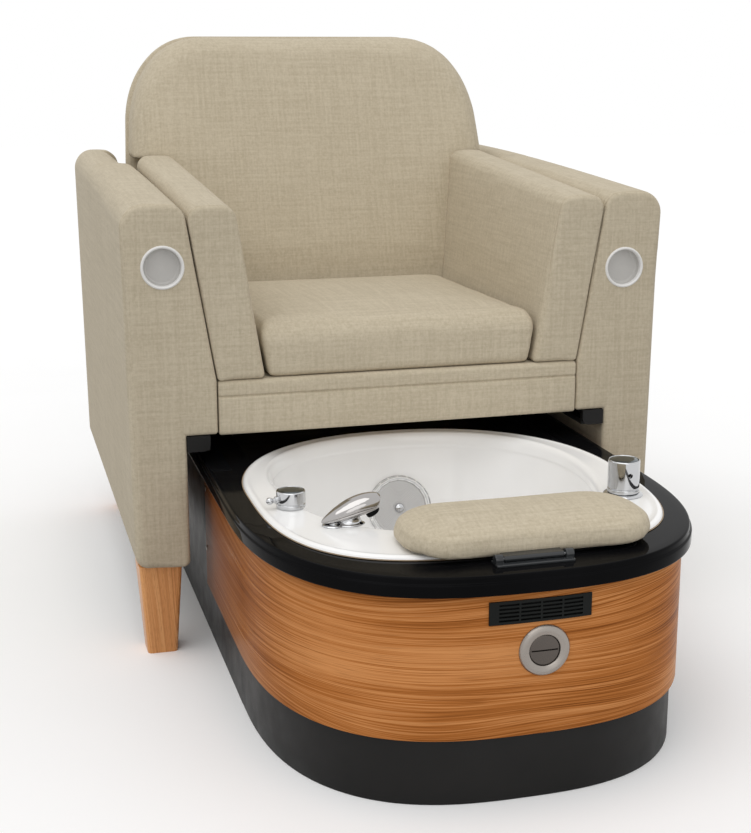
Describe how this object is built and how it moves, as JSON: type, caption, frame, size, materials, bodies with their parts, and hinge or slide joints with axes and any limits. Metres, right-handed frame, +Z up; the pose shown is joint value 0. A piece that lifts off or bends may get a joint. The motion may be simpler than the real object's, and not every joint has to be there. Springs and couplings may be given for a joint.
{
  "type": "pedicure chair",
  "caption": "Upholstered pedicure armchair with a gliding seat and reclining back behind a fixed foot bath: curved wood front, white jetted basin, chrome spray and knobs, padded footrest.",
  "frame": {"origin": "centre of the footprint at floor level", "axes": "+Z up, the sitter faces -Y, +X to the right as seen from the front"},
  "size_m": [0.9756, 1.66, 1.08],
  "materials": {
    "linen": "woven, matte",
    "leg_wood": "satin stain",
    "veneer": "satin lacquer",
    "plywood": "raw",
    "black_gloss": "gloss",
    "black_satin": "satin",
    "vent_black": "matte",
    "acrylic": "gloss",
    "seal": "matte",
    "chrome": "polished",
    "nickel": "satin nickel",
    "steel": "plain",
    "port_white": "satin",
    "jet_grey": "gloss"
  },
  "bodies": {
    "base": {"basin": "acrylic", "cabinet_back": "black_satin", "cabinet_floor": "plywood", "cabinet_left_side": "black_satin", "cabinet_right_side": "black_satin", "counter": "black_gloss", "diverter_flange": "chrome", "drain_flange": "chrome", "footrest_hinge": "black_gloss", "footrest_pin": "steel", "front_left_leg": "leg_wood", "front_right_leg": "leg_wood", "jet_cover": "jet_grey", "jet_housing": "acrylic", "jet_hub": "chrome", "jet_motor": "steel", "latch_bezel": "nickel", "left_join_bracket": "steel", "left_outer_arm": "linen", "left_port": "port_white", "left_slide_rail": "black_satin", "rear_left_leg": "leg_wood", "rear_panel": "linen", "rear_right_leg": "leg_wood", "right_join_bracket": "steel", "right_outer_arm": "linen", "right_port": "port_white", "right_slide_rail": "black_satin", "rim_seal": "seal", "spray_dock": "chrome", "toe_kick_front": "black_satin", "toe_kick_left": "black_satin", "toe_kick_right": "black_satin", "vent_grille": "vent_black", "wood_panel": "veneer"},
    "seat": {"seat_frame": "plywood", "seat_deck": "plywood", "front_rail": "linen", "seat_cushion": "linen", "left_inner_arm": "linen", "right_inner_arm": "linen", "left_runner": "steel", "right_runner": "steel", "recline_shaft": "steel"},
    "backrest": {"backrest_cushion": "linen", "backrest_shell": "linen", "recline_hinge": "steel"},
    "footrest": {"footrest_board": "black_satin", "footrest_pad": "linen"},
    "mixer": {"mixer_knob": "chrome", "mixer_lever": "chrome"},
    "diverter": {"diverter_knob": "chrome"},
    "spray": {"spray_head": "chrome", "spray_stem": "chrome", "spray_nozzle": "jet_grey"},
    "impeller": {"jet_impeller": "jet_grey"},
    "stopper": {"drain_stopper": "chrome"},
    "latch": {"latch_disc": "nickel", "latch_cam": "steel"}
  },
  "joints": [
    {"name": "seat_glide", "type": "slide", "parent": "base", "child": "seat", "axis": [0, -1, 0], "range_m": [0, 0.12]},
    {"name": "back_recline", "type": "hinge", "parent": "seat", "child": "backrest", "pos_m": [0, 0.5283, 0.462], "axis": [-1, 0, 0], "range_deg": [0, 15]},
    {"name": "footrest_flip", "type": "hinge", "parent": "base", "child": "footrest", "pos_m": [0.012, -0.784, 0.3598], "axis": [1, 0, 0], "range_deg": [0, 95]},
    {"name": "mixer_turn", "type": "hinge", "parent": "base", "child": "mixer", "pos_m": [-0.268, -0.46, 0.3573], "axis": [0, 0, 1], "range_deg": [-45, 45]},
    {"name": "diverter_turn", "type": "hinge", "parent": "base", "child": "diverter", "pos_m": [0.263, -0.533, 0.3573], "axis": [0, 0, 1], "range_deg": [-90, 90]},
    {"name": "spray_pull", "type": "slide", "parent": "base", "child": "spray", "axis": [0, 0, 1], "range_m": [0, 0.06]},
    {"name": "impeller_spin", "type": "hinge", "parent": "base", "child": "impeller", "pos_m": [0.014, -0.09844, 0.222], "axis": [0, 0.9504, -0.3109], "continuous": true},
    {"name": "stopper_lift", "type": "slide", "parent": "base", "child": "stopper", "axis": [0, 0, 1], "range_m": [0, 0.01]},
    {"name": "latch_turn", "type": "hinge", "parent": "base", "child": "latch", "pos_m": [0.0187, -0.817, 0.231], "axis": [0, -1, 0], "range_deg": [0, 90]}
  ]
}
